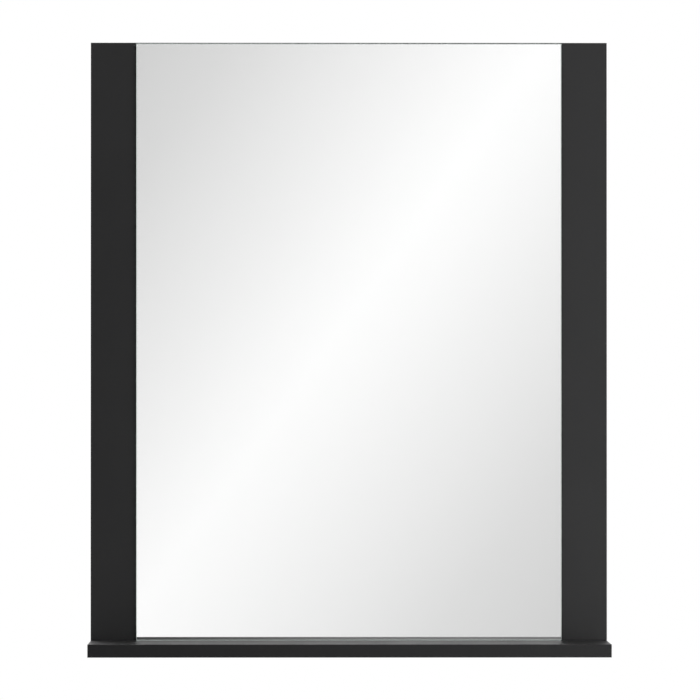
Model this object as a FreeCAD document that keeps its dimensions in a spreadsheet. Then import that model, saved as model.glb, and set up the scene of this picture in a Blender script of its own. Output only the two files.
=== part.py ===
import FreeCAD, Part
import math
import os
import Sketcher

# Wall mirror with a shelf, in millimetres.
#
# A panel of melamine-faced board hangs on two keyhole plates. The mirror glass is taped to its face,
# between two bare strips of the panel. A shelf of the same board closes the bottom edge: two cam
# fittings in the panel's back pull it up, and two dowels line it up.
#
# +X points to the viewer's right, +Y into the wall and +Z up. The origin lies on the wall, midway
# between the entry holes of the two keyhole plates.

SIZES = [
    # the boards and their edging
    ("overall_width", 600.0, "across panel and shelf, edging included"),
    ("panel_height", 695.0, "from the shelf's top to the panel's top, edging included"),
    ("panel_thickness", 15.0, "melamine-faced board"),
    ("shelf_thickness", 15.0, "melamine-faced board"),
    ("overall_depth", 120.0, "from the wall to the shelf's front"),
    ("edging_thickness", 1.0, "plastic edging glued round the boards' visible edges"),
    ("edging_land", 0.5, "flat left beside the rounding of the edging's long outer edges"),
    # the mirror glass and what holds it
    ("side_strip", 53.0, "bare panel on each side of the glass"),
    ("glass_thickness", 4.0, "silvering included"),
    ("glass_top_gap", 1.3, "from the panel's top down to the glass"),
    ("glass_foot_gap", 0.5, "from the shelf up to the glass"),
    ("glass_arris", 0.5, "chamfer ground on the edges of the glass"),
    ("silver_thickness", 0.1, "silver and its protective paint"),
    ("tape_thickness", 1.0, "foam tape between silvering and panel"),
    ("tape_width", 20.0, "one strip"),
    ("tape_inset", 35.0, "from the side of the glass to the middle of the outer strips"),
    ("tape_end_gap", 30.0, "from the ends of the glass to the ends of the strips"),
    # the keyhole plates on the back
    ("hanger_drop", 60.0, "from the panel's top to the keyhole entries"),
    ("hanger_inset", 70.0, "from the panel's side to the keyhole entries"),
    ("plate_thickness", 2.0, "also the gap between panel and wall"),
    ("plate_width", 32.0, "keyhole plate"),
    ("plate_height", 70.0, "keyhole plate"),
    ("plate_corner", 5.0, "corner radius of a keyhole plate"),
    ("keyhole_entry", 11.0, "diameter that a wall screw's head passes"),
    ("keyhole_slot", 5.5, "width that holds a wall screw's shank"),
    ("keyhole_travel", 12.0, "from the entry's centre up to the screw's seat"),
    ("head_room_margin", 2.0, "round the keyhole, to the sides of the pocket behind it"),
    ("head_room_depth", 8.0, "pocket in the panel for a wall screw's head"),
    ("plate_screw_inset", 8.0, "from a plate's ends to its two screws"),
    ("plate_screw_shank", 3.0, "diameter"),
    ("plate_screw_head", 6.6, "diameter of the countersunk head"),
    ("plate_screw_length", 13.0, "head included"),
    ("plate_screw_tip", 2.5, "length of the screw's point"),
    ("screw_gap", 0.1, "round a screw or a bolt in its hole, and past its tip"),
    # the cam fittings between panel and shelf
    ("cam_inset", 100.0, "from the panel's side to a cam's axis"),
    ("cam_setback", 24.0, "from the shelf's top up to a cam's axis"),
    ("cam_bore", 15.0, "diameter drilled in the panel's back"),
    ("cam_gap", 0.08, "radial running gap of a cam in its bore"),
    ("cam_recess", 0.3, "how far a cam lies below the panel's back, and off its bore's floor"),
    ("cam_chamber", 9.1, "diameter of the eccentric chamber round the bolt's head"),
    ("cam_eccentricity", 0.5, "of the chamber to the cam's axis"),
    ("cam_floor", 1.2, "wall that closes a cam's inner end"),
    ("cam_turn", 150.0, "degrees from locked to the bolt's entry"),
    ("driver_length", 8.0, "cross slot in a cam's face"),
    ("driver_width", 1.4, "cross slot in a cam's face"),
    ("driver_floor", 1.4, "wall left under the cross slot"),
    ("arrow_rim", 0.9, "from the cam's rim to the tip of the arrow cut in its face"),
    ("arrow_length", 1.8, "arrow"),
    ("arrow_width", 2.2, "arrow"),
    ("arrow_depth", 0.4, "arrow"),
    ("bolt_head", 6.6, "diameter"),
    ("bolt_head_rise", 1.8, "top of the head above the cam's axis"),
    ("bolt_neck", 3.9, "diameter inside a cam's wall"),
    ("bolt_shank", 5.4, "diameter"),
    ("bolt_taper", 1.0, "length of the cone from neck to shank"),
    ("bolt_collar_height", 1.6, "collar that seats on the shelf"),
    ("bolt_collar_gap", 0.3, "round the collar in the panel's hole"),
    ("bolt_thread", 5.0, "diameter in the shelf"),
    ("bolt_thread_length", 10.5, "in the shelf"),
    ("bolt_hole", 8.0, "diameter drilled up into the panel's bottom edge"),
    ("bolt_play", 0.25, "round the bolt's head and neck inside a cam"),
    ("bolt_seat_gap", 0.08, "between the locked cam and the bolt's head"),
    # the dowels and the pads
    ("dowel_inset", 30.0, "from the panel's side to a dowel's axis"),
    ("dowel_diameter", 8.0, "beech dowel"),
    ("dowel_in_shelf", 10.0, "length inside the shelf"),
    ("dowel_in_panel", 20.0, "length inside the panel"),
    ("dowel_bevel", 1.0, "at both ends"),
    ("dowel_gap", 0.1, "round a dowel in its hole"),
    ("dowel_end_gap", 0.8, "glue room past a dowel's ends"),
    ("pad_side", 20.0, "square wall pad"),
    ("pad_corner", 3.0, "corner radius of a wall pad"),
    ("pad_inset", 30.0, "from the panel's side to a wall pad's centre"),
    ("pad_height", 45.0, "from the panel's bottom to a wall pad's centre"),
]

doc = FreeCAD.newDocument("wall_mirror_with_shelf")
sheet = doc.addObject("Spreadsheet::Sheet", "Sizes")
for row, (alias, size, meaning) in enumerate(SIZES, start=1):
    sheet.set(f"A{row}", alias)
    sheet.set(f"B{row}", str(size))
    sheet.setAlias(f"B{row}", alias)
    sheet.set(f"C{row}", meaning)
doc.recompute()

# Places and sizes that follow from the sheet and that several pieces share.
HALF_WIDTH = "Sizes.overall_width / 2"
CORE_WIDTH = "(Sizes.overall_width - 2 * Sizes.edging_thickness)"
CORE_HEIGHT = "(Sizes.panel_height - Sizes.edging_thickness)"
CORE_DEPTH = "(Sizes.overall_depth - Sizes.plate_thickness - Sizes.edging_thickness)"
PANEL_BOTTOM = "(Sizes.hanger_drop - Sizes.panel_height)"
PANEL_BACK = "-Sizes.plate_thickness"
PANEL_MIDDLE = "-(Sizes.plate_thickness + Sizes.panel_thickness / 2)"
GLASS_BACK = "-(Sizes.plate_thickness + Sizes.panel_thickness + Sizes.tape_thickness)"
GLASS_WIDTH = "(Sizes.overall_width - 2 * Sizes.side_strip)"
GLASS_HEIGHT = "(Sizes.panel_height - Sizes.glass_top_gap - Sizes.glass_foot_gap)"
GLASS_BOTTOM = f"({PANEL_BOTTOM} + Sizes.glass_foot_gap)"
GLASS_MIDDLE = f"({GLASS_BOTTOM} + {GLASS_HEIGHT} / 2)"
HANGER_X = f"({HALF_WIDTH} - Sizes.hanger_inset)"
CAM_X = f"({HALF_WIDTH} - Sizes.cam_inset)"
CAM_Z = f"({PANEL_BOTTOM} + Sizes.cam_setback)"
PLATE_MIDDLE = "Sizes.keyhole_travel / 2"
PLATE_SCREW = "(Sizes.plate_height / 2 - Sizes.plate_screw_inset)"
BOLT_ROOM = "(Sizes.bolt_head + 2 * Sizes.bolt_play)"
ENTRY_ROOM = "(Sizes.bolt_head + Sizes.bolt_play)"
NECK_ROOM = "(Sizes.bolt_neck + 2 * Sizes.bolt_play)"
SLOT_ROOM = "(Sizes.bolt_neck + Sizes.bolt_play)"
CAM_DIAMETER = "(Sizes.cam_bore - 2 * Sizes.cam_gap)"
CAM_OUTWARD = "(Sizes.panel_thickness / 2 - Sizes.cam_recess)"
CAM_INWARD = f"({BOLT_ROOM} / 2 + Sizes.cam_floor)"
DOWEL_X = f"({HALF_WIDTH} - Sizes.dowel_inset)"
DOWEL_HOLE = "Sizes.dowel_diameter + 2 * Sizes.dowel_gap"
SIDES = (("left", "-1"), ("right", "1"))
TINY = 1e-4


def value(expression):
    """The number that an expression of sheet cells has now."""
    return float(sheet.evalExpression(expression))


def vector(x, y=0.0, z=0.0):
    return FreeCAD.Vector(x, y, z)


def new_body(label, x=None, y=None, z=None, rotation=None):
    """An empty body, placed by expressions of sheet cells."""
    body = doc.addObject("PartDesign::Body", label)
    body.Label = label
    if rotation:
        body.Placement = FreeCAD.Placement(vector(0), rotation)
    for axis, place in zip("xyz", (x, y, z)):
        if place:
            body.setExpression(f"Placement.Base.{axis}", place)
    return body


def origin_feature(body, role):
    return next(f for f in body.Origin.OriginFeatures if f.Role == role)


def new_sketch(body, plane, shift_x=None, shift_y=None, lift=None):
    """A sketch on one of the body's own origin planes, moved within that plane or lifted off it."""
    sketch = body.newObject("Sketcher::SketchObject", body.Label + "_sketch")
    sketch.AttachmentSupport = (origin_feature(body, plane), "")
    sketch.MapMode = "FlatFace"
    for axis, move in zip("xyz", (shift_x, shift_y, lift)):
        if move:
            sketch.setExpression(f"AttachmentOffset.Base.{axis}", move)
    return sketch


def dimension(sketch, kind, *points, size):
    """A named constraint whose size is an expression of sheet cells."""
    index = sketch.addConstraint(Sketcher.Constraint(kind, *points, value(size)))
    name = f"size_{index}"
    sketch.renameConstraint(index, name)
    sketch.setExpression(f"Constraints.{name}", size)


def constrain(sketch, kind, *points):
    sketch.addConstraint(Sketcher.Constraint(kind, *points))


def set_point(sketch, geometry, vertex, x, y):
    """Dimensions a point from the sketch's origin. None puts it on that axis."""
    for kind, axis, size in (("DistanceX", -2, x), ("DistanceY", -1, y)):
        if size is None:
            constrain(sketch, "PointOnObject", geometry, vertex, axis)
        else:
            dimension(sketch, kind, -1, 1, geometry, vertex, size=size)


def draw_rectangle(sketch, width, height):
    """A rectangle centred on the sketch's origin."""
    x, y = value(width) / 2, value(height) / 2
    lines = draw_loop(sketch, [vector(-x, -y), vector(x, -y), vector(x, y), vector(-x, y)])
    for line, kind in zip(lines, ("Horizontal", "Vertical", "Horizontal", "Vertical")):
        constrain(sketch, kind, line)
    constrain(sketch, "Symmetric", lines[0], 1, lines[2], 1, -1, 1)
    dimension(sketch, "DistanceX", lines[0], 1, lines[0], 2, size=width)
    dimension(sketch, "DistanceY", lines[1], 1, lines[1], 2, size=height)


def draw_loop(sketch, corners):
    """Straight lines from corner to corner and back to the first."""
    ends = zip(corners, corners[1:] + corners[:1])
    lines = [sketch.addGeometry(Part.LineSegment(a, b), False) for a, b in ends]
    for line, following in zip(lines, lines[1:] + lines[:1]):
        constrain(sketch, "Coincident", line, 2, following, 1)
    return lines


def draw_outline(sketch, points):
    """A closed outline through points given as pairs of expressions. None puts a point on that axis."""
    corners = [vector(value(x or "0"), value(y or "0")) for x, y in points]
    for line, (x, y) in zip(draw_loop(sketch, corners), points):
        set_point(sketch, line, 1, x, y)


def draw_circle(sketch, diameter, x=None, y=None):
    centre = vector(value(x or "0"), value(y or "0"))
    circle = sketch.addGeometry(Part.Circle(centre, vector(0, 0, 1), value(diameter) / 2), False)
    set_point(sketch, circle, 3, x, y)
    dimension(sketch, "Diameter", circle, size=diameter)


def draw_circle_pair(sketch, diameter, x, y=None):
    """Two equal circles, at equal distances on both sides of the sketch's vertical axis."""
    draw_circle(sketch, diameter, x, y)
    draw_circle(sketch, diameter, f"-{x}", y)


def draw_slot(sketch, length, width):
    """A round-ended slot that runs up from the sketch's origin."""
    rise, radius = value(length), value(width) / 2
    low_circle = Part.Circle(vector(0), vector(0, 0, 1), radius)
    high_circle = Part.Circle(vector(0, rise), vector(0, 0, 1), radius)
    foot = sketch.addGeometry(Part.ArcOfCircle(low_circle, -math.pi, 0), False)
    right = sketch.addGeometry(Part.LineSegment(vector(radius, 0), vector(radius, rise)), False)
    head = sketch.addGeometry(Part.ArcOfCircle(high_circle, 0, math.pi), False)
    left = sketch.addGeometry(Part.LineSegment(vector(-radius, rise), vector(-radius, 0)), False)
    chain = (foot, right, head, left)
    for piece, following in zip(chain, chain[1:] + chain[:1]):
        constrain(sketch, "Tangent", piece, 2, following, 1)
    constrain(sketch, "Coincident", foot, 3, -1, 1)
    constrain(sketch, "PointOnObject", head, 3, -2)
    dimension(sketch, "DistanceY", foot, 3, head, 3, size=length)
    dimension(sketch, "Diameter", foot, size=width)


def add_pad(body, sketch, length, other_side=None):
    """Extrudes a sketch along its normal, and by other_side the opposite way too."""
    pad = body.newObject("PartDesign::Pad", body.Label + "_pad")
    pad.Profile = sketch
    pad.setExpression("Length", length)
    if other_side:
        pad.SideType = "Two sides"
        pad.setExpression("Length2", other_side)
    doc.recompute()
    return pad


def add_pocket(body, sketch, length, along_normal=False, both_sides=False):
    """Cuts a sketch out of the body."""
    before = body.Shape.Volume
    pocket = body.newObject("PartDesign::Pocket", body.Label + "_pocket")
    pocket.Profile = sketch
    pocket.Reversed = along_normal
    if both_sides:
        pocket.SideType = "Symmetric"
    pocket.setExpression("Length", length)
    finish_cut(body, pocket, before)
    return pocket


def finish_cut(body, feature, before):
    """Recomputes a feature that removes material, and stops if it removed nothing."""
    doc.recompute()
    if body.Shape.Volume >= before:
        raise RuntimeError(f"{feature.Name} of {body.Label} cuts nothing: {feature.State}")


def add_revolution(body, sketch):
    """Turns a sketch once round its own vertical axis."""
    revolution = body.newObject("PartDesign::Revolution", body.Label + "_revolution")
    revolution.Profile = sketch
    revolution.ReferenceAxis = (sketch, ["V_Axis"])
    revolution.Angle = 360
    doc.recompute()
    return revolution


def add_fillet(body, feature, edges, radius):
    fillet = body.newObject("PartDesign::Fillet", body.Label + "_fillet")
    fillet.Base = (feature, edges)
    fillet.setExpression("Radius", radius)
    doc.recompute()
    return fillet


def edges_where(feature, test):
    """Names of the feature's edges whose bounding box passes a test."""
    return [f"Edge{n}" for n, edge in enumerate(feature.Shape.Edges, start=1) if test(edge.BoundBox)]


def corner_edges(feature):
    """Names of the edges that run from the front of a plate to its back."""
    return edges_where(feature, lambda box: box.XLength < TINY and box.ZLength < TINY)


def add_group(label, members):
    """One sub-part of several separate solids."""
    group = doc.addObject("Part::Compound", label)
    group.Label = label
    group.Links = members
    return group


def make_back_panel():
    """The board that carries everything, drilled for its fittings."""
    body = new_body("back_panel", y=PANEL_BACK, z=f"{PANEL_BOTTOM} + {CORE_HEIGHT} / 2")
    outline = new_sketch(body, "XZ_Plane")
    draw_rectangle(outline, CORE_WIDTH, CORE_HEIGHT)
    add_pad(body, outline, "Sizes.panel_thickness")

    # room for the wall screws' heads behind the keyhole plates
    hanger_height = f"{CORE_HEIGHT} / 2 + Sizes.edging_thickness - Sizes.hanger_drop"
    room = new_sketch(body, "XZ_Plane", shift_x=HANGER_X, shift_y=hanger_height)
    draw_slot(room, "Sizes.keyhole_travel", "Sizes.keyhole_entry + 2 * Sizes.head_room_margin")
    pocket = add_pocket(body, room, "Sizes.head_room_depth", along_normal=True)
    mirrored = body.newObject("PartDesign::Mirrored", "head_room_pair")
    mirrored.Originals = [pocket]
    mirrored.MirrorPlane = (origin_feature(body, "YZ_Plane"), [""])
    body.Tip = mirrored
    doc.recompute()

    # pilot holes for the plates' screws
    pilots = new_sketch(body, "XZ_Plane", shift_y=hanger_height)
    pilot_diameter = "Sizes.plate_screw_shank + 2 * Sizes.screw_gap"
    for side in "+-":
        screw_height = f"{PLATE_MIDDLE} {side} {PLATE_SCREW}"
        draw_circle_pair(pilots, pilot_diameter, HANGER_X, screw_height)
    pilot_depth = "Sizes.plate_screw_length - Sizes.plate_thickness + Sizes.screw_gap"
    add_pocket(body, pilots, pilot_depth, along_normal=True)

    # the cams' bores in the back
    cams = new_sketch(body, "XZ_Plane", shift_y=f"Sizes.cam_setback - {CORE_HEIGHT} / 2")
    draw_circle_pair(cams, "Sizes.cam_bore", CAM_X)
    bore_depth = f"Sizes.panel_thickness / 2 + {CAM_INWARD} + Sizes.cam_recess"
    add_pocket(body, cams, bore_depth, along_normal=True)

    # holes up into the bottom edge, for the bolts and the dowels
    bottom = f"-{CORE_HEIGHT} / 2"
    bolts = new_sketch(body, "XY_Plane", shift_y="-Sizes.panel_thickness / 2", lift=bottom)
    draw_circle_pair(bolts, "Sizes.bolt_hole", CAM_X)
    add_pocket(body, bolts, "Sizes.cam_setback", along_normal=True)
    dowels = new_sketch(body, "XY_Plane", shift_y="-Sizes.panel_thickness / 2", lift=bottom)
    draw_circle_pair(dowels, DOWEL_HOLE, DOWEL_X)
    add_pocket(body, dowels, "Sizes.dowel_in_panel + Sizes.dowel_end_gap", along_normal=True)
    return body


def make_shelf_board():
    """The shelf's board, drilled from above for the bolts and the dowels."""
    body = new_body("shelf_board", y=f"{PANEL_BACK} - {CORE_DEPTH} / 2", z=PANEL_BOTTOM)
    outline = new_sketch(body, "XY_Plane", lift="-Sizes.shelf_thickness")
    draw_rectangle(outline, CORE_WIDTH, CORE_DEPTH)
    add_pad(body, outline, "Sizes.shelf_thickness")
    under_panel = f"({CORE_DEPTH} - Sizes.panel_thickness) / 2"
    bolts = new_sketch(body, "XY_Plane", shift_y=under_panel)
    draw_circle_pair(bolts, "Sizes.bolt_thread + 2 * Sizes.screw_gap", CAM_X)
    add_pocket(body, bolts, "Sizes.bolt_thread_length + Sizes.screw_gap")
    dowels = new_sketch(body, "XY_Plane", shift_y=under_panel)
    draw_circle_pair(dowels, DOWEL_HOLE, DOWEL_X)
    add_pocket(body, dowels, "Sizes.dowel_in_shelf + Sizes.dowel_end_gap")
    return body


def make_edging(label, length, width, outward, along, x, y, z):
    """A strip of edging: flat towards its board, its two long outer edges rounded."""
    across = along.cross(outward)
    body = new_body(label, x, y, z, FreeCAD.Rotation(outward, across, along, "XYZ"))
    section = new_sketch(body, "XY_Plane", shift_x="Sizes.edging_thickness / 2")
    draw_rectangle(section, "Sizes.edging_thickness", width)
    pad = add_pad(body, section, length)
    outer = value("Sizes.edging_thickness") - TINY
    long_edges = edges_where(pad, lambda box: box.XMin > outer and box.YLength < TINY)
    add_fillet(body, pad, long_edges, "Sizes.edging_thickness - Sizes.edging_land")
    return body


def make_panel_edging():
    """Edging on the panel's sides, over its full height, and on its top between them."""
    strips = []
    for side, sign in SIDES:
        strips.append(
            make_edging(
                f"panel_edging_{side}",
                length="Sizes.panel_height",
                width="Sizes.panel_thickness",
                outward=vector(float(sign)),
                along=vector(0, 0, 1),
                x=f"{sign} * {CORE_WIDTH} / 2",
                y=PANEL_MIDDLE,
                z=PANEL_BOTTOM,
            )
        )
    strips.append(
        make_edging(
            "panel_edging_top",
            length=CORE_WIDTH,
            width="Sizes.panel_thickness",
            outward=vector(0, 0, 1),
            along=vector(1),
            x=f"-{CORE_WIDTH} / 2",
            y=PANEL_MIDDLE,
            z="Sizes.hanger_drop - Sizes.edging_thickness",
        )
    )
    return strips


def make_shelf_edging():
    """Edging on the shelf's sides, and on its front over their ends."""
    strips = []
    middle = f"{PANEL_BOTTOM} - Sizes.shelf_thickness / 2"
    for side, sign in SIDES:
        strips.append(
            make_edging(
                f"shelf_edging_{side}",
                length=CORE_DEPTH,
                width="Sizes.shelf_thickness",
                outward=vector(float(sign)),
                along=vector(0, -1),
                x=f"{sign} * {CORE_WIDTH} / 2",
                y=PANEL_BACK,
                z=middle,
            )
        )
    strips.append(
        make_edging(
            "shelf_edging_front",
            length="Sizes.overall_width",
            width="Sizes.shelf_thickness",
            outward=vector(0, -1),
            along=vector(1),
            x=f"-{HALF_WIDTH}",
            y="Sizes.edging_thickness - Sizes.overall_depth",
            z=middle,
        )
    )
    return strips


def make_mirror_glass():
    """The pane, with every edge ground to a small chamfer."""
    body = new_body("mirror_glass", y=f"{GLASS_BACK} - Sizes.silver_thickness", z=GLASS_MIDDLE)
    outline = new_sketch(body, "XZ_Plane")
    draw_rectangle(outline, GLASS_WIDTH, GLASS_HEIGHT)
    pad = add_pad(body, outline, "Sizes.glass_thickness - Sizes.silver_thickness")
    arris = body.newObject("PartDesign::Chamfer", "mirror_glass_arris")
    arris.Base = (pad, ["Face1"])
    arris.UseAllEdges = True
    arris.setExpression("Size", "Sizes.glass_arris")
    doc.recompute()
    return body


def make_mirror_silvering():
    """The reflecting layer, inside the chamfers on the back of the pane."""
    body = new_body("mirror_silvering", y=GLASS_BACK, z=GLASS_MIDDLE)
    outline = new_sketch(body, "XZ_Plane")
    margin = "2 * Sizes.glass_arris"
    draw_rectangle(outline, f"{GLASS_WIDTH} - {margin}", f"{GLASS_HEIGHT} - {margin}")
    add_pad(body, outline, "Sizes.silver_thickness")
    return body


def make_mirror_tape():
    """Four upright strips of foam tape, evenly spaced behind the glass."""
    strips = []
    outer = f"({GLASS_WIDTH} / 2 - Sizes.tape_inset)"
    for number, place in enumerate(("-1", "-1 / 3", "1 / 3", "1"), start=1):
        strip = doc.addObject("Part::Box", f"tape_strip_{number}")
        strip.setExpression("Length", "Sizes.tape_width")
        strip.setExpression("Width", "Sizes.tape_thickness")
        strip.setExpression("Height", f"{GLASS_HEIGHT} - 2 * Sizes.tape_end_gap")
        strip.setExpression("Placement.Base.x", f"{place} * {outer} - Sizes.tape_width / 2")
        strip.setExpression("Placement.Base.y", GLASS_BACK)
        strip.setExpression("Placement.Base.z", f"{GLASS_BOTTOM} + Sizes.tape_end_gap")
        strips.append(strip)
    return add_group("mirror_tape_strips", strips)


def make_hanger_plate(side, sign):
    """A keyhole plate: the wall screw's head goes in below, and its shank slides up the slot."""
    body = new_body(f"hanger_plate_{side}", x=f"{sign} * {HANGER_X}")
    outline = new_sketch(body, "XZ_Plane", shift_y=PLATE_MIDDLE)
    draw_rectangle(outline, "Sizes.plate_width", "Sizes.plate_height")
    pad = add_pad(body, outline, "Sizes.plate_thickness")
    add_fillet(body, pad, corner_edges(pad), "Sizes.plate_corner")
    entry = new_sketch(body, "XZ_Plane")
    draw_circle(entry, "Sizes.keyhole_entry")
    add_pocket(body, entry, "Sizes.plate_thickness", along_normal=True)
    slot = new_sketch(body, "XZ_Plane")
    draw_slot(slot, "Sizes.keyhole_travel", "Sizes.keyhole_slot")
    add_pocket(body, slot, "Sizes.plate_thickness", along_normal=True)

    # countersunk holes for the plate's own screws
    places = new_sketch(body, "XZ_Plane", shift_y=PLATE_MIDDLE)
    for end in ("", "-"):
        draw_circle(places, "Sizes.plate_screw_shank", y=f"{end}{PLATE_SCREW}")
    doc.recompute()
    before = body.Shape.Volume
    hole = body.newObject("PartDesign::Hole", body.Label + "_screw_holes")
    hole.Profile = places
    hole.Reversed = True
    hole.DepthType = "ThroughAll"
    hole.setExpression("Diameter", "Sizes.plate_screw_shank + 2 * Sizes.screw_gap")
    hole.HoleCutType = "Countersink"
    hole.HoleCutCustomValues = True
    hole.setExpression("HoleCutDiameter", "Sizes.plate_screw_head + 2 * Sizes.screw_gap")
    hole.HoleCutCountersinkAngle = 90
    finish_cut(body, hole, before)
    return body


def make_hanger_screws():
    """Two countersunk screws through each keyhole plate into the panel."""
    screws = []
    towards_wall = FreeCAD.Rotation(vector(1), -90)
    head = "Sizes.plate_screw_head / 2"
    shank = "Sizes.plate_screw_shank / 2"
    tip_start = "Sizes.plate_screw_tip - Sizes.plate_screw_length"
    for side, sign in SIDES:
        for end in "+-":
            body = new_body(
                f"hanger_screw_{len(screws) + 1}",
                x=f"{sign} * {HANGER_X}",
                z=f"{PLATE_MIDDLE} {end} {PLATE_SCREW}",
                rotation=towards_wall,
            )
            profile = new_sketch(body, "XZ_Plane")
            draw_outline(
                profile,
                [
                    (None, None),
                    (head, None),
                    (shank, f"{shank} - {head}"),
                    (shank, tip_start),
                    (None, "-Sizes.plate_screw_length"),
                ],
            )
            add_revolution(body, profile)
            screws.append(body)
    return add_group("hanger_screws", screws)


def make_cam(side, sign):
    """A cam that turns in the panel's back. It is drawn locked, its axis along Y.

    The bolt's head sits in an eccentric chamber, whose wall comes nearest to it on the locked side.
    The neck leaves through a slot that runs round to a wide entry, where the head passes in."""
    body = new_body(f"cam_{side}", x=f"{sign} * {CAM_X}", y=PANEL_MIDDLE, z=CAM_Z)
    outline = new_sketch(body, "XZ_Plane")
    draw_circle(outline, CAM_DIAMETER)
    add_pad(body, outline, CAM_INWARD, other_side=CAM_OUTWARD)

    chamber = new_sketch(body, "XZ_Plane")
    draw_circle(chamber, "Sizes.cam_chamber", y="Sizes.cam_eccentricity")
    add_pocket(body, chamber, BOLT_ROOM, both_sides=True)

    entry = new_sketch(body, "XY_Plane")
    entry.AttachmentOffset = FreeCAD.Placement(vector(0), FreeCAD.Rotation(vector(0, 1), 1))
    entry.setExpression("AttachmentOffset.Rotation.Angle", "180 - Sizes.cam_turn")
    draw_circle(entry, ENTRY_ROOM)
    add_pocket(body, entry, "Sizes.cam_bore", along_normal=True)

    neck = new_sketch(body, "XY_Plane")
    draw_circle(neck, NECK_ROOM)
    add_pocket(body, neck, "Sizes.cam_bore")

    # the slot that the neck runs in, turned from the locked place to the entry
    slot = new_sketch(body, "YZ_Plane", shift_y="-Sizes.cam_bore / 2")
    draw_rectangle(slot, SLOT_ROOM, f"Sizes.cam_bore - {NECK_ROOM}")
    before = body.Shape.Volume
    groove = body.newObject("PartDesign::Groove", body.Label + "_neck_slot")
    groove.Profile = slot
    groove.ReferenceAxis = (origin_feature(body, "Y_Axis"), [""])
    groove.Reversed = True
    groove.setExpression("Angle", "Sizes.cam_turn")
    finish_cut(body, groove, before)

    # the cross slot for a screwdriver
    driver_depth = f"{CAM_OUTWARD} - {BOLT_ROOM} / 2 - Sizes.driver_floor"
    for length, width in (("driver_length", "driver_width"), ("driver_width", "driver_length")):
        driver = new_sketch(body, "XZ_Plane", lift=f"-{CAM_OUTWARD}")
        draw_rectangle(driver, f"Sizes.{length}", f"Sizes.{width}")
        add_pocket(body, driver, driver_depth, along_normal=True)

    # the arrow that points the way the bolt comes in
    arrow = new_sketch(body, "XZ_Plane", lift=f"-{CAM_OUTWARD}")
    arrow.setExpression("AttachmentOffset.Rotation.Angle", "Sizes.cam_turn - 90")
    tip = f"{CAM_DIAMETER} / 2 - Sizes.arrow_rim"
    tail = f"{tip} - Sizes.arrow_length"
    draw_outline(arrow, [(tip, None), (tail, "Sizes.arrow_width / 2"), (tail, "-Sizes.arrow_width / 2")])
    add_pocket(body, arrow, "Sizes.arrow_depth", along_normal=True)
    return body


def make_cam_bolt(side, sign):
    """A bolt that stands in the shelf, its head in the cam. It is drawn from the cam's axis down."""
    body = new_body(f"cam_bolt_{side}", x=f"{sign} * {CAM_X}", y=PANEL_MIDDLE, z=CAM_Z)
    profile = new_sketch(body, "XZ_Plane")
    head = "Sizes.bolt_head / 2"
    neck = "Sizes.bolt_neck / 2"
    shank = "Sizes.bolt_shank / 2"
    collar = "Sizes.bolt_hole / 2 - Sizes.bolt_collar_gap"
    thread = "Sizes.bolt_thread / 2"
    reach = "(Sizes.cam_chamber / 2 - Sizes.cam_eccentricity - Sizes.bolt_seat_gap)"
    neck_end = "Sizes.cam_bore / 2"
    tip = "Sizes.cam_setback + Sizes.bolt_thread_length"
    draw_outline(
        profile,
        [
            (None, "Sizes.bolt_head_rise"),
            (head, "Sizes.bolt_head_rise"),
            (head, f"-sqrt({reach} ^ 2 - ({head}) ^ 2)"),
            (neck, f"-sqrt({reach} ^ 2 - ({neck}) ^ 2)"),
            (neck, f"-{neck_end}"),
            (shank, f"-{neck_end} - Sizes.bolt_taper"),
            (shank, "Sizes.bolt_collar_height - Sizes.cam_setback"),
            (collar, "Sizes.bolt_collar_height - Sizes.cam_setback"),
            (collar, "-Sizes.cam_setback"),
            (thread, "-Sizes.cam_setback"),
            (thread, f"-({tip})"),
            (None, f"-({tip})"),
        ],
    )
    add_revolution(body, profile)
    return body


def make_dowels():
    """Two beech dowels that line the shelf up with the panel."""
    dowels = []
    radius = "Sizes.dowel_diameter / 2"
    for side, sign in SIDES:
        body = new_body(f"dowel_{side}", x=f"{sign} * {DOWEL_X}", y=PANEL_MIDDLE, z=PANEL_BOTTOM)
        profile = new_sketch(body, "XZ_Plane")
        draw_outline(
            profile,
            [
                (None, "-Sizes.dowel_in_shelf"),
                (f"{radius} - Sizes.dowel_bevel", "-Sizes.dowel_in_shelf"),
                (radius, "Sizes.dowel_bevel - Sizes.dowel_in_shelf"),
                (radius, "Sizes.dowel_in_panel - Sizes.dowel_bevel"),
                (f"{radius} - Sizes.dowel_bevel", "Sizes.dowel_in_panel"),
                (None, "Sizes.dowel_in_panel"),
            ],
        )
        add_revolution(body, profile)
        dowels.append(body)
    return add_group("shelf_dowels", dowels)


def make_wall_pad(side, sign):
    """A soft pad that keeps the panel's lower end as far off the wall as the keyhole plates do."""
    body = new_body(
        f"wall_pad_{side}",
        x=f"{sign} * ({HALF_WIDTH} - Sizes.pad_inset)",
        z=f"{PANEL_BOTTOM} + Sizes.pad_height",
    )
    outline = new_sketch(body, "XZ_Plane")
    draw_rectangle(outline, "Sizes.pad_side", "Sizes.pad_side")
    pad = add_pad(body, outline, "Sizes.plate_thickness")
    add_fillet(body, pad, corner_edges(pad), "Sizes.pad_corner")
    return body


def make_all():
    """Every sub-part, in the order of assembly."""
    pieces = [make_back_panel(), *make_panel_edging()]
    pieces += [make_mirror_glass(), make_mirror_silvering(), make_mirror_tape()]
    pieces += [make_shelf_board(), *make_shelf_edging(), make_dowels()]
    for maker in (make_cam, make_cam_bolt, make_hanger_plate, make_wall_pad):
        pieces += [maker(side, sign) for side, sign in SIDES]
    pieces.append(make_hanger_screws())
    doc.recompute()
    return pieces


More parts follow.
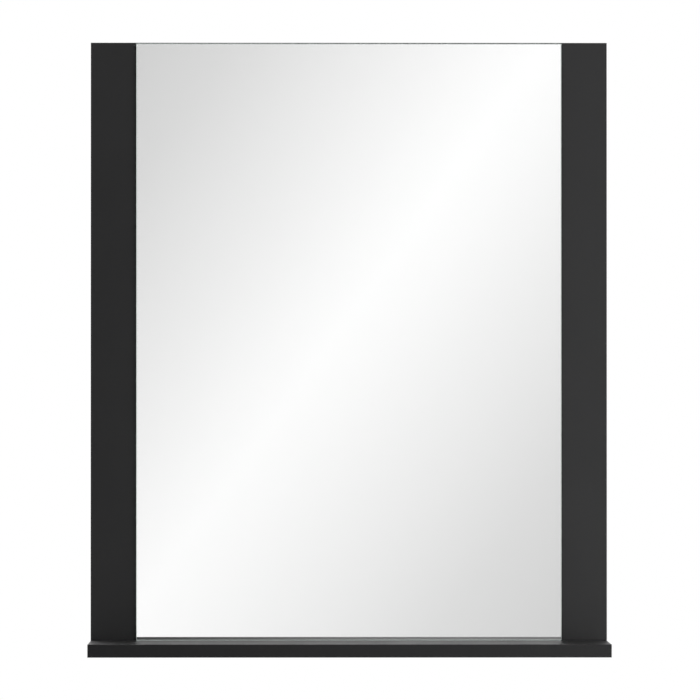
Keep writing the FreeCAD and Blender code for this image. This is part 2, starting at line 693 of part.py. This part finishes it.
def write_parts(pieces):
    """Checks every object of the document, then writes one STEP file for each sub-part."""
    for item in doc.Objects:
        if "Invalid" in item.State or "Error" in item.State:
            raise RuntimeError(f"{item.Label} failed: {item.State}")
    for piece in pieces:
        if piece.Shape.isNull() or not piece.Shape.isValid():
            raise RuntimeError(f"{piece.Label} has no valid shape")
    os.makedirs("parts", exist_ok=True)
    for piece in pieces:
        piece.Shape.exportStep(f"parts/{piece.Label}.step")
        print(f"{piece.Label}: {len(piece.Shape.Solids)} solid, {piece.Shape.Volume:.1f} mm3")


write_parts(make_all())
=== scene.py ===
import math

import bmesh
import bpy
from mathutils import Matrix, Vector


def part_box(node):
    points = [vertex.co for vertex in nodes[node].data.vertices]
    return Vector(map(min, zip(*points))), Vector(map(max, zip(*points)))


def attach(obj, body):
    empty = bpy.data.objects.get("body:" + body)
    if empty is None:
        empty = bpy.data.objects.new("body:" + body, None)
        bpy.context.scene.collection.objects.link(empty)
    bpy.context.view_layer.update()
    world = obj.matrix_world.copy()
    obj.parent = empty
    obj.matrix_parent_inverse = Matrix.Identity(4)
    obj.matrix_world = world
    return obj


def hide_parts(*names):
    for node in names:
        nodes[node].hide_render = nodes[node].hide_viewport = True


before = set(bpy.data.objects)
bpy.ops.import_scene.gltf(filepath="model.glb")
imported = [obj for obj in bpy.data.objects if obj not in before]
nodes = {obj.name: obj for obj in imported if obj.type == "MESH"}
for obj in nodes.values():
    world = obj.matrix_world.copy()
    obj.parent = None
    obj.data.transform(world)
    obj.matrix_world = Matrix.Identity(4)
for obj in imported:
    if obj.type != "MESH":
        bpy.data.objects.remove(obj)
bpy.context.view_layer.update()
BODY = "mirror_body"
MM = 0.001
QUARTER_TURN = math.pi / 2
WHITE = (1.0, 1.0, 1.0)


class Look:
    """A material in the making: one Principled shader and the nodes that feed it."""

    def __init__(self, name, **values):
        self.material = bpy.data.materials.new(name)
        self.material.use_nodes = True
        self.tree = self.material.node_tree
        self.shader = self.tree.nodes["Principled BSDF"]
        self.set(**values)
        coordinates = self.node("ShaderNodeTexCoord")
        self.place = coordinates.outputs["Object"]
        self.normal = coordinates.outputs["Normal"]

    def set(self, **values):
        """Gives sockets of the shader a number, a colour or another node's output."""
        for name, value in values.items():
            self.feed(self.shader.inputs[name.replace("_", " ")], value)

    def feed(self, socket, value):
        """Gives any socket a number, a colour or another node's output."""
        if isinstance(value, bpy.types.NodeSocket):
            self.tree.links.new(value, socket)
        elif hasattr(value, "__len__") and len(value) < len(socket.default_value):
            socket.default_value = (*value, 1.0)
        else:
            socket.default_value = value

    def node(self, kind, inputs=None, **settings):
        made = self.tree.nodes.new(kind)
        for name, value in settings.items():
            setattr(made, name, value)
        for socket, value in (inputs or {}).items():
            self.feed(made.inputs[socket], value)
        return made

    def math(self, operation, a, b=0.0):
        return self.node("ShaderNodeMath", {0: a, 1: b}, operation=operation).outputs[0]

    def average(self, a, b):
        return self.math("MULTIPLY", self.math("ADD", a, b), 0.5)

    def axis(self, vector, name):
        return self.node("ShaderNodeSeparateXYZ", {0: vector}).outputs[name]

    def reach(self):
        """The distance from the object's own origin."""
        return self.node("ShaderNodeVectorMath", {0: self.place}, operation="LENGTH").outputs["Value"]

    def stretched(self, factors):
        inputs = {0: self.place, 1: factors}
        return self.node("ShaderNodeVectorMath", inputs, operation="MULTIPLY").outputs[0]

    def noise(self, size, detail=2.0, stretch=(1, 1, 1)):
        """Soft noise, 0 to 1, with features of about that size in metres."""
        inputs = {"Vector": self.stretched(stretch), "Scale": 1 / size, "Detail": detail}
        return self.node("ShaderNodeTexNoise", inputs).outputs[0]

    def cells(self, size, output, stretch=(1, 1, 1), warp=0.0):
        """Grains of about that size in metres: Distance from a grain's centre, or its own Color.

        A warp in metres makes their outlines uneven."""
        vector = self.stretched(stretch)
        if warp:
            inputs = {"Vector": vector, "Scale": 1.5 / size}
            drift = self.node("ShaderNodeTexNoise", inputs).outputs["Color"]
            inputs = {0: drift, 1: (warp,) * 3, 2: vector}
            vector = self.node("ShaderNodeVectorMath", inputs, operation="MULTIPLY_ADD").outputs[0]
        inputs = {"Vector": vector, "Scale": 1 / size}
        return self.node("ShaderNodeTexVoronoi", inputs).outputs[output]

    def spread(self, factor, low, high):
        """Maps 0 to 1 onto low to high."""
        return self.node("ShaderNodeMapRange", {0: factor, 3: low, 4: high}).outputs[0]

    def between(self, value, start, end):
        """0 below start, 1 above end, and smooth between them."""
        inputs = {0: value, 1: start, 2: end}
        return self.node("ShaderNodeMapRange", inputs, interpolation_type="SMOOTHSTEP").outputs[0]

    def ramp(self, factor, *stops):
        """A colour that runs through stops of (position, colour)."""
        node = self.node("ShaderNodeValToRGB", {0: factor})
        elements = node.color_ramp.elements
        while len(elements) < len(stops):
            elements.new(1.0)
        for element, (position, colour) in zip(elements, stops):
            element.position = position
            element.color = (*colour, 1.0)
        return node.outputs[0]

    def tones(self, noise, low, high):
        """A colour between two, over the range that a noise mostly keeps to."""
        return self.ramp(noise, (0.3, low), (0.7, high))

    def mix(self, factor, a, b):
        """Mixes two colours."""
        return self.node("ShaderNodeMix", {0: factor, 6: a, 7: b}, data_type="RGBA").outputs[2]

    def blend(self, factor, a, b):
        """Mixes two numbers."""
        return self.node("ShaderNodeMix", {0: factor, 2: a, 3: b}, data_type="FLOAT").outputs[0]

    def bump(self, height, depth):
        """Roughens the surface by a height of 0 to 1 that is depth metres deep."""
        self.set(Normal=self.node("ShaderNodeBump", {"Height": height, "Distance": depth}).outputs[0])

    def clear_away(self, surface, factor):
        """Shows a surface that turns clear as the factor goes from 0 to 1."""
        clear = self.node("ShaderNodeBsdfTransparent").outputs[0]
        mixed = self.node("ShaderNodeMixShader", {0: factor, 1: surface, 2: clear}).outputs[0]
        self.feed(self.tree.nodes["Material Output"].inputs["Surface"], mixed)


# the boards: FINE_LAYER is in shares of half the thickness, and PEARL_RELIEF a share of CUT_RELIEF
BLACK_LOW = (0.0085, 0.0085, 0.0088)
BLACK_HIGH = (0.0125, 0.0125, 0.0129)
MELAMINE_LAYER = 0.25 * MM
PEARL = 0.7 * MM
PEARL_RELIEF = 0.08
GLOSS_CLOUD = 60 * MM
COARSE_CHIP = 4.5 * MM
FINE_CHIP = 1.6 * MM
CHIP_FLATNESS = 8.0
CHIP_WARP = 0.9
CHIP_TONES = (
    (0.1, (0.20, 0.125, 0.07)),
    (0.4, (0.36, 0.245, 0.145)),
    (0.65, (0.46, 0.33, 0.20)),
    (0.9, (0.58, 0.44, 0.29)),
)
FINE_LAYER = (0.45, 0.8)
FIBRE = 2.5 * MM
FIBRE_FLATNESS = 16.0
PIT_RANGE = (0.66, 0.9)
PIT_TONE = (0.10, 0.06, 0.03)
CUT_ROUGHNESS = 0.9
CUT_RELIEF = 0.3 * MM


def flattened(axis, factor):
    """Factors that squeeze a texture along one axis."""
    return tuple(factor if letter == axis else 1.0 for letter in "XYZ")


def board_look(name, axis, node, smoothest, roughest, specular):
    """Black melamine on both faces of a board, and raw chipboard wherever it is cut."""
    low, high = (corner["XYZ".index(axis)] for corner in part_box(node))
    half = (high - low) / 2
    look = Look(name, Specular_IOR_Level=specular)
    across = look.math("SUBTRACT", look.axis(look.place, axis), (low + high) / 2)
    from_middle = look.math("ABSOLUTE", across)
    face = look.math("GREATER_THAN", from_middle, half - MELAMINE_LAYER)

    # the melamine: a fine pearl texture, slightly uneven in gloss
    pearl = look.noise(PEARL, detail=3.0)
    cloud = look.noise(GLOSS_CLOUD, detail=3.0)
    black = look.tones(pearl, BLACK_LOW, BLACK_HIGH)
    gloss = look.spread(look.average(pearl, cloud), smoothest, roughest)

    # the chipboard: coarse chips in the middle, fine ones near the faces, and pits between them
    fine_share = look.between(from_middle, *(share * half for share in FINE_LAYER))
    flat = flattened(axis, CHIP_FLATNESS)
    chip_tones = []
    chip_distances = []
    for size in (COARSE_CHIP, FINE_CHIP):
        warp = CHIP_WARP * size
        chip_tones.append(look.axis(look.cells(size, "Color", flat, warp), "X"))
        chip_distances.append(look.cells(size, "Distance", flat, warp))
    fibre = look.noise(FIBRE, detail=5.0, stretch=flattened(axis, FIBRE_FLATNESS))
    chips = look.ramp(look.average(look.blend(fine_share, *chip_tones), fibre), *CHIP_TONES)
    pits = look.blend(fine_share, *chip_distances)
    raw = look.mix(look.between(pits, *PIT_RANGE), chips, PIT_TONE)

    look.set(Base_Color=look.mix(face, raw, black))
    look.set(Roughness=look.blend(face, CUT_ROUGHNESS, gloss))
    cut_height = look.math("SUBTRACT", 1.0, pits)
    face_height = look.math("MULTIPLY", pearl, PEARL_RELIEF)
    look.bump(look.blend(face, cut_height, face_height), CUT_RELIEF)
    return look.material


def edging_look():
    """Plastic edging in the boards' black, a little smoother than their faces."""
    look = Look("black_edging", Specular_IOR_Level=0.18)
    pearl = look.noise(0.5 * MM, detail=2.0)
    cloud = look.noise(25 * MM, detail=4.0)
    look.set(Base_Color=look.tones(pearl, (0.0070, 0.0070, 0.0073), (0.0105, 0.0105, 0.0109)))
    look.set(Roughness=look.spread(cloud, 0.32, 0.48))
    look.bump(pearl, 0.012 * MM)
    return look.material


# the glass: how squarely a surface faces front or back, from 0 on the side walls to 1 on the faces
POLISHED_FACING = 0.98
WALL_FACING = 0.3
EDGE_GREEN = (0.68, 0.81, 0.75)


def glass_look():
    """Clear polished faces, and ground edges with the glass's faint green, coarsest on the side walls."""
    look = Look("clear_glass", Transmission_Weight=1.0, IOR=1.5)
    facing = look.math("ABSOLUTE", look.axis(look.normal, "Y"))
    edge = look.math("LESS_THAN", facing, POLISHED_FACING)
    wall = look.math("LESS_THAN", facing, WALL_FACING)
    grind = look.noise(0.12 * MM, detail=3.0)
    look.set(Base_Color=look.mix(edge, WHITE, EDGE_GREEN))
    ground = look.blend(wall, look.spread(grind, 0.4, 0.6), look.spread(grind, 0.85, 1.0))
    look.set(Roughness=look.math("MULTIPLY", edge, ground))
    return look.material


def silver_look():
    """The reflecting layer."""
    look = Look("silver", Metallic=1.0)
    tone = look.noise(180 * MM, detail=1.0)
    look.set(Base_Color=look.ramp(tone, (0.0, (0.945, 0.948, 0.945)), (1.0, (0.955, 0.957, 0.955))))
    look.set(Roughness=look.spread(tone, 0.0, 0.004))
    return look.material


def paint_look():
    """The grey paint that protects the silver from behind."""
    look = Look("mirror_paint")
    speckle = look.noise(1.5 * MM, detail=4.0)
    look.set(Base_Color=look.tones(speckle, (0.17, 0.18, 0.19), (0.22, 0.23, 0.24)))
    look.set(Roughness=look.spread(speckle, 0.45, 0.6))
    look.bump(speckle, 0.02 * MM)
    return look.material


def foam_look():
    """White foam tape with open pores."""
    look = Look("foam_tape")
    pores = look.cells(0.35 * MM, "Distance")
    look.set(Base_Color=look.ramp(pores, (0.0, (0.42, 0.42, 0.40)), (0.5, (0.66, 0.66, 0.63))))
    look.set(Roughness=look.spread(pores, 0.8, 0.95))
    look.bump(pores, 0.15 * MM)
    return look.material


def zinc_look():
    """Bright zinc plating on rolled steel."""
    look = Look("zinc_plated_steel", Metallic=1.0)
    rolled = look.noise(0.35 * MM, detail=3.0, stretch=(1, 1, 0.06))
    spangle = look.noise(4 * MM, detail=3.0)
    look.set(Base_Color=look.tones(spangle, (0.52, 0.55, 0.59), (0.64, 0.66, 0.68)))
    look.set(Roughness=look.spread(look.average(rolled, spangle), 0.2, 0.46))
    look.bump(rolled, 0.012 * MM)
    return look.material


def cast_look():
    """Dull die-cast zinc in its own tone on the face, with painted shade that darkens its recesses."""
    look = Look("die_cast_zinc", Metallic=1.0)
    grain = look.noise(0.3 * MM, detail=4.0)
    stain = look.noise(3 * MM, detail=3.0)
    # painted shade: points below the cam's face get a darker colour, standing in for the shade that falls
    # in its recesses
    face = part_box("cam_left")[1].y
    depth = look.math("SUBTRACT", face, look.axis(look.place, "Y"))
    recess_shade = look.between(depth, 0.03 * MM, 0.25 * MM)
    face_tone = look.tones(stain, (0.36, 0.36, 0.37), (0.48, 0.48, 0.48))
    # painted shade: this darker tone is the recesses' painted shade, not bare metal
    raw = look.tones(stain, (0.15, 0.15, 0.155), (0.22, 0.22, 0.22))
    look.set(Base_Color=look.mix(recess_shade, face_tone, raw))
    look.set(Roughness=look.blend(recess_shade, look.spread(grain, 0.4, 0.65), 0.7))
    look.bump(grain, 0.04 * MM)
    return look.material


def beech_look():
    """Beech with its grain along the dowels."""
    look = Look("beech")
    grain = look.noise(1.2 * MM, detail=5.0, stretch=(1, 1, 0.08))
    fleck = look.noise(0.6 * MM, detail=2.0, stretch=(1, 1, 0.25))
    wood = look.tones(grain, (0.42, 0.25, 0.13), (0.62, 0.43, 0.26))
    look.set(Base_Color=look.mix(look.between(fleck, 0.6, 0.7), wood, (0.36, 0.2, 0.1)))
    look.set(Roughness=look.spread(grain, 0.5, 0.7))
    look.bump(grain, 0.06 * MM)
    return look.material


def rubber_look():
    """Soft grey rubber with a fine moulded grain."""
    look = Look("pad_rubber", Specular_IOR_Level=0.3)
    grain = look.cells(0.45 * MM, "Distance")
    patch = look.noise(5 * MM, detail=3.0)
    look.set(Base_Color=look.tones(patch, (0.105, 0.105, 0.107), (0.130, 0.130, 0.132)))
    look.set(Roughness=look.spread(patch, 0.6, 0.8))
    look.bump(grain, 0.05 * MM)
    return look.material


zinc = zinc_look()
cast = cast_look()
rubber = rubber_look()
edging = edging_look()
panel_gloss = {"smoothest": 0.42, "roughest": 0.62, "specular": 0.25}
shelf_gloss = {"smoothest": 0.34, "roughest": 0.50, "specular": 0.17}
looks = {
    "back_panel": board_look("panel_board", "Y", "back_panel", **panel_gloss),
    "shelf_board": board_look("shelf_board", "Z", "shelf_board", **shelf_gloss),
    "mirror_glass": glass_look(),
    "mirror_tape_strips": foam_look(),
    "shelf_dowels": beech_look(),
    "cam_left": cast,
    "cam_right": cast,
}
looks.update({name: edging for name in nodes if "_edging_" in name})
looks.update({name: zinc for name in nodes if name.startswith(("hanger_plate_", "cam_bolt_"))})
for name, material in looks.items():
    nodes[name].data.materials.clear()
    nodes[name].data.materials.append(material)


def new_object(name, mesh, materials):
    """Turns a finished mesh into an object of the scene."""
    data = bpy.data.meshes.new(name)
    mesh.to_mesh(data)
    mesh.free()
    for material in materials:
        data.materials.append(material)
    made = bpy.data.objects.new(name, data)
    bpy.context.scene.collection.objects.link(made)
    return made


def new_piece(name, mesh, materials, stands_for):
    """Shows a mesh in place of a CAD node."""
    bmesh.ops.recalc_face_normals(mesh, faces=mesh.faces)
    piece = new_object(name, mesh, materials)
    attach(piece, BODY)
    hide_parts(stands_for)
    return piece


def join_rings(mesh, rings):
    """Skins rings that have equally many points."""
    for low, high in zip(rings, rings[1:]):
        for a, b, c, d in zip(low, low[1:] + low[:1], high[1:] + high[:1], high):
            mesh.faces.new((a, b, c, d))


SILVER_GAP = 0.02 * MM


def make_silvering():
    """The silver sheet: a hair behind the glass, with its painted back."""
    low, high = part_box("mirror_silvering")
    corners = ((low.x, low.z), (high.x, low.z), (high.x, high.z), (low.x, high.z))
    mesh = bmesh.new()
    rings = []
    for y in (low.y + SILVER_GAP, high.y):
        rings.append([mesh.verts.new((x, y, z)) for x, z in corners])
    join_rings(mesh, rings)
    silvered = mesh.faces.new(rings[0])
    mesh.faces.new(rings[1])

    # the front is the first material, silver, and all the rest is the second, paint
    for face in mesh.faces:
        face.material_index = 1
    silvered.material_index = 0
    new_piece("silver_sheet", mesh, (silver_look(), paint_look()), "mirror_silvering")


PAD_CORNER = 3 * MM
PAD_ROUND_OVER = 0.7 * MM
PAD_STEPS = 6


def pad_ring(mesh, low, high, inset, y):
    """A pad's outline with round corners, moved in from its full size by the inset."""
    left, right = low.x + PAD_CORNER, high.x - PAD_CORNER
    bottom, top = low.z + PAD_CORNER, high.z - PAD_CORNER
    reach = PAD_CORNER - inset
    ring = []
    for quarter, (x, z) in enumerate(((right, top), (left, top), (left, bottom), (right, bottom))):
        for step in range(PAD_STEPS + 1):
            angle = QUARTER_TURN * (quarter + step / PAD_STEPS)
            ring.append(mesh.verts.new((x + reach * math.cos(angle), y, z + reach * math.sin(angle))))
    return ring


def make_pads():
    """Moulded pads: flat on the panel, their rim rounded towards the wall."""
    for side in ("left", "right"):
        node = f"wall_pad_{side}"
        low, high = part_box(node)
        mesh = bmesh.new()
        rings = [pad_ring(mesh, low, high, 0.0, low.y)]
        for step in range(PAD_STEPS + 1):
            turn = QUARTER_TURN * step / PAD_STEPS
            inset = PAD_ROUND_OVER * (1 - math.cos(turn))
            y = high.y - PAD_ROUND_OVER * (1 - math.sin(turn))
            rings.append(pad_ring(mesh, low, high, inset, y))
        join_rings(mesh, rings)
        mesh.faces.new(rings[0])
        mesh.faces.new(rings[-1])
        piece = new_piece(f"moulded_pad_{side}", mesh, (rubber,), node)
        for polygon in piece.data.polygons:
            polygon.use_smooth = len(polygon.vertices) == 4


# the screws: RIDGE_HALF_WIDTH is a share of the pitch, and RECESS_FLOOR_SHARE of the recess's mouth
SCREW_SIDES = 48
SCREW_LENGTH = 13 * MM
SCREW_FROM_PLATE_END = 8 * MM
HEAD_RADIUS = 3.3 * MM
HEAD_RIM = 0.125 * MM
SHANK_RADIUS = 1.5 * MM
CORE_RADIUS = 1.05 * MM
TIP_RADIUS = 0.06 * MM
POINT_LENGTH = 2.5 * MM
CONE_DEPTH = HEAD_RADIUS - SHANK_RADIUS
THREAD_START = CONE_DEPTH + 1.2 * MM
THREAD_RUN_IN = 0.8 * MM
THREAD_PITCH = 1.2 * MM
THREAD_ROWS = 84
RIDGE_HALF_WIDTH = 0.28
RECESS_REACH = 2.0 * MM
RECESS_HALF_WIDTH = 0.55 * MM
RECESS_DEPTH = 1.3 * MM
RECESS_FLOOR_SHARE = 0.5


def screw_ring(mesh, radii, depth):
    """Points round a screw's axis, that far below the top of its head."""
    ring = []
    for number, radius in enumerate(radii):
        angle = 2 * math.pi * number / SCREW_SIDES
        ring.append(mesh.verts.new((radius * math.cos(angle), -depth, radius * math.sin(angle))))
    return ring


def thread_radii(depth):
    """The radii round a thread: a ridge that winds down the core and dies away towards the point."""
    run_in = min(1.0, (depth - THREAD_START) / THREAD_RUN_IN)
    point = min(1.0, (SCREW_LENGTH - depth) / POINT_LENGTH)
    base = SHANK_RADIUS + (CORE_RADIUS - SHANK_RADIUS) * run_in
    radii = []
    for number in range(SCREW_SIDES):
        wind = (depth / THREAD_PITCH - number / SCREW_SIDES) % 1.0
        ridge = max(0.0, 1 - abs(wind - 0.5) / RIDGE_HALF_WIDTH)
        radii.append(max(TIP_RADIUS, (base + (SHANK_RADIUS - base) * ridge) * point))
    return radii


def cut_recess(mesh, head_ring):
    """Closes a screw's flat top, with a cross recess in it."""
    arm = (
        (RECESS_REACH, -RECESS_HALF_WIDTH),
        (RECESS_REACH, RECESS_HALF_WIDTH),
        (RECESS_HALF_WIDTH, RECESS_HALF_WIDTH),
    )
    cross = []
    for quarter in range(4):
        turn = Matrix.Rotation(QUARTER_TURN * quarter, 2)
        cross += [turn @ Vector(point) for point in arm]
    mouth = [mesh.verts.new((point.x, 0.0, point.y)) for point in cross]
    floor = []
    for point in cross:
        x, z = point * RECESS_FLOOR_SHARE
        floor.append(mesh.verts.new((x, -RECESS_DEPTH, z)))
    join_rings(mesh, [mouth, floor])
    mesh.faces.new(floor)
    rim_edges = []
    for loop in (head_ring, mouth):
        for a, b in zip(loop, loop[1:] + loop[:1]):
            rim_edges.append(mesh.edges.get((a, b)) or mesh.edges.new((a, b)))
    bmesh.ops.triangle_fill(mesh, use_beauty=True, use_dissolve=False, edges=rim_edges)


def make_screw(name, place):
    """A countersunk screw with a cross recess and a rolled thread."""
    mesh = bmesh.new()
    head = [HEAD_RADIUS] * SCREW_SIDES
    shank = [SHANK_RADIUS] * SCREW_SIDES
    rings = [
        screw_ring(mesh, head, 0.0),
        screw_ring(mesh, head, HEAD_RIM),
        screw_ring(mesh, shank, CONE_DEPTH + HEAD_RIM),
    ]
    for row in range(THREAD_ROWS + 1):
        depth = THREAD_START + (SCREW_LENGTH - THREAD_START) * row / THREAD_ROWS
        rings.append(screw_ring(mesh, thread_radii(depth), depth))
    join_rings(mesh, rings)
    mesh.faces.new(rings[-1])
    cut_recess(mesh, rings[0])
    bmesh.ops.translate(mesh, verts=mesh.verts, vec=place)
    new_piece(name, mesh, (zinc,), "hanger_screws")


def make_screws():
    """Two screws in each keyhole plate, in place of the plain ones."""
    for plate in ("left", "right"):
        low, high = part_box(f"hanger_plate_{plate}")
        heights = {"top": high.z - SCREW_FROM_PLATE_END, "bottom": low.z + SCREW_FROM_PLATE_END}
        for end, z in heights.items():
            make_screw(f"plate_screw_{plate}_{end}", ((low.x + high.x) / 2, high.y, z))


make_silvering()
make_pads()
make_screws()

# the studio, in metres
FLOOR_RADIUS = 5.0
FLOOR_SEGMENTS = 96
FLOOR_HEIGHT = -1.15
FLOOR_FADE = (0.9, 2.6)
FLOOR_GLOW = 0.28


def floor_look():
    """Pale and plain. It turns clear well inside the rim, and is clear from below."""
    look = Look("studio_floor", Roughness=0.8, Specular_IOR_Level=0.1)
    tone = look.noise(0.4, detail=3.0)
    look.set(Base_Color=look.tones(tone, (0.54, 0.54, 0.54), (0.56, 0.56, 0.56)))
    path = look.node("ShaderNodeLightPath").outputs
    mirrored = look.math("MAXIMUM", path["Is Glossy Ray"], path["Is Transmission Ray"])
    seen = look.math("MAXIMUM", path["Is Camera Ray"], mirrored)
    look.set(Emission_Color=WHITE, Emission_Strength=look.math("MULTIPLY", seen, FLOOR_GLOW))
    below = look.node("ShaderNodeNewGeometry").outputs["Backfacing"]
    gone = look.math("MAXIMUM", look.between(look.reach(), *FLOOR_FADE), below)
    look.clear_away(look.shader.outputs[0], gone)
    return look.material


def make_floor():
    """A wide pale floor under the hanging mirror."""
    mesh = bmesh.new()
    bmesh.ops.create_circle(mesh, cap_ends=True, segments=FLOOR_SEGMENTS, radius=FLOOR_RADIUS)
    floor = new_object("studio_floor", mesh, (floor_look(),))
    floor.location = (0.0, 0.0, FLOOR_HEIGHT)


# where a card starts and ends to fade, in shares of its half size
CARD_FADE = (0.5, 0.97)
RAY_KINDS = ("camera", "diffuse", "glossy", "transmission", "shadow", "volume_scatter")


def card_look(name, half_size, stops):
    """Light that runs through stops of (metres from the card's middle line, level), with a soft rim."""
    look = Look(name)
    from_line = look.math("ABSOLUTE", look.axis(look.place, "X"))
    levels = [(distance / half_size, (level,) * 3) for distance, level in stops]
    light = look.ramp(look.math("DIVIDE", from_line, half_size), *levels)
    glow = look.node("ShaderNodeEmission", {"Color": light}).outputs[0]
    look.clear_away(glow, look.between(look.reach(), *(share * half_size for share in CARD_FADE)))
    return look.material


def make_card(name, centre, across, half_size, stops, seen_by):
    """A light card or a flag in front, which only the named kinds of ray meet."""
    mesh = bmesh.new()
    bmesh.ops.create_grid(mesh, x_segments=1, y_segments=1, size=half_size)
    card = new_object(name, mesh, (card_look(name, half_size, stops),))
    across = Vector(across).normalized()
    facing = Vector((0.0, 1.0, 0.0))
    turn = Matrix((across, facing.cross(across), facing)).transposed().to_4x4()
    card.matrix_world = Matrix.Translation(centre) @ turn
    for kind in RAY_KINDS:
        setattr(card, f"visible_{kind}", kind in seen_by)


def aim(thing, place, target):
    """Puts a lamp or the camera in its place and turns it to a target."""
    thing.location = place
    thing.rotation_mode = "QUATERNION"
    thing.rotation_quaternion = (Vector(target) - Vector(place)).to_track_quat("-Z", "Y")
    bpy.context.scene.collection.objects.link(thing)


# the strength in a lamp's middle, at which it gives as much light as an even lamp of that power
LAMP_PEAK = 4.24
LAMP_TARGET = (0.0, 0.0, -0.3)


def make_lamp(name, place, size, power):
    """A soft lamp, brightest in its middle. Neither the camera nor a ray through glass sees its shape."""
    data = bpy.data.lights.new(name, "AREA")
    data.size = size
    data.energy = power
    data.use_nodes = True
    tree = data.node_tree
    across = tree.nodes.new("ShaderNodeNewGeometry").outputs["Parametric"]
    from_middle = tree.nodes.new("ShaderNodeVectorMath")
    from_middle.operation = "DISTANCE"
    tree.links.new(across, from_middle.inputs[0])
    from_middle.inputs[1].default_value = (0.5, 0.5, 0.0)
    fade = tree.nodes.new("ShaderNodeMapRange")
    fade.interpolation_type = "SMOOTHSTEP"
    for socket, number in enumerate((0.0, 0.5, LAMP_PEAK, 0.0), start=1):
        fade.inputs[socket].default_value = number
    tree.links.new(from_middle.outputs["Value"], fade.inputs[0])
    tree.links.new(fade.outputs[0], tree.nodes["Emission"].inputs["Strength"])
    lamp = bpy.data.objects.new(name, data)
    lamp.visible_camera = False
    lamp.visible_transmission = False
    aim(lamp, place, LAMP_TARGET)


def make_world():
    """White where it is seen or mirrored, and half as bright as light on matt surfaces."""
    world = bpy.data.worlds.new("studio")
    world.use_nodes = True
    tree = world.node_tree
    seen = tree.nodes["Background"]
    seen.inputs["Color"].default_value = (*WHITE, 1.0)
    soft = tree.nodes.new("ShaderNodeBackground")
    soft.inputs["Color"].default_value = (0.5, 0.5, 0.5, 1.0)
    path = tree.nodes.new("ShaderNodeLightPath")
    is_seen = path.outputs["Is Camera Ray"]
    for kind in ("Is Glossy Ray", "Is Transmission Ray"):
        either = tree.nodes.new("ShaderNodeMath")
        either.operation = "MAXIMUM"
        tree.links.new(is_seen, either.inputs[0])
        tree.links.new(path.outputs[kind], either.inputs[1])
        is_seen = either.outputs[0]
    mixed = tree.nodes.new("ShaderNodeMixShader")
    tree.links.new(is_seen, mixed.inputs[0])
    tree.links.new(soft.outputs[0], mixed.inputs[1])
    tree.links.new(seen.outputs[0], mixed.inputs[2])
    tree.links.new(mixed.outputs[0], tree.nodes["World Output"].inputs["Surface"])
    bpy.context.scene.world = world


CAMERA_PLACE = (-0.0556, -6.607, -0.346)
CAMERA_TARGET = (0.0013, -0.017, -0.2973)
CAMERA_LENS = 291.52


def make_camera():
    """Nearly straight on, from far off, a little left of the middle and near half height."""
    data = bpy.data.cameras.new("camera")
    data.sensor_width = 36
    data.lens = CAMERA_LENS
    data.clip_end = 100
    camera = bpy.data.objects.new("camera", data)
    aim(camera, CAMERA_PLACE, CAMERA_TARGET)
    bpy.context.scene.camera = camera


make_floor()
make_card(
    "light_card",
    centre=(0.0133, -2.5, -0.2391),
    across=(0.809, 0.0, -0.588),
    half_size=1.4,
    stops=((0.0, 1.06), (0.07, 1.02), (0.27, 0.87), (0.41, 0.755), (0.55, 0.68), (0.95, 0.6)),
    seen_by=("glossy", "transmission"),
)
make_card(
    "dark_flag",
    centre=(-0.80, -0.8, -0.2),
    across=(1.0, 0.0, 0.0),
    half_size=1.0,
    stops=((0.0, 0.05), (1.0, 0.05)),
    seen_by=("glossy",),
)
make_lamp("key", place=(1.25, -2.4, -0.6), size=1.0, power=23)
make_lamp("fill", place=(-1.8, -2.4, 1.2), size=1.6, power=11)
make_lamp("top", place=(0.2, -0.6, 2.2), size=1.6, power=45)
make_lamp("rear", place=(-1.2, 2.2, 2.2), size=3.0, power=95)
make_world()
make_camera()
bpy.context.scene.view_settings.view_transform = "Standard"
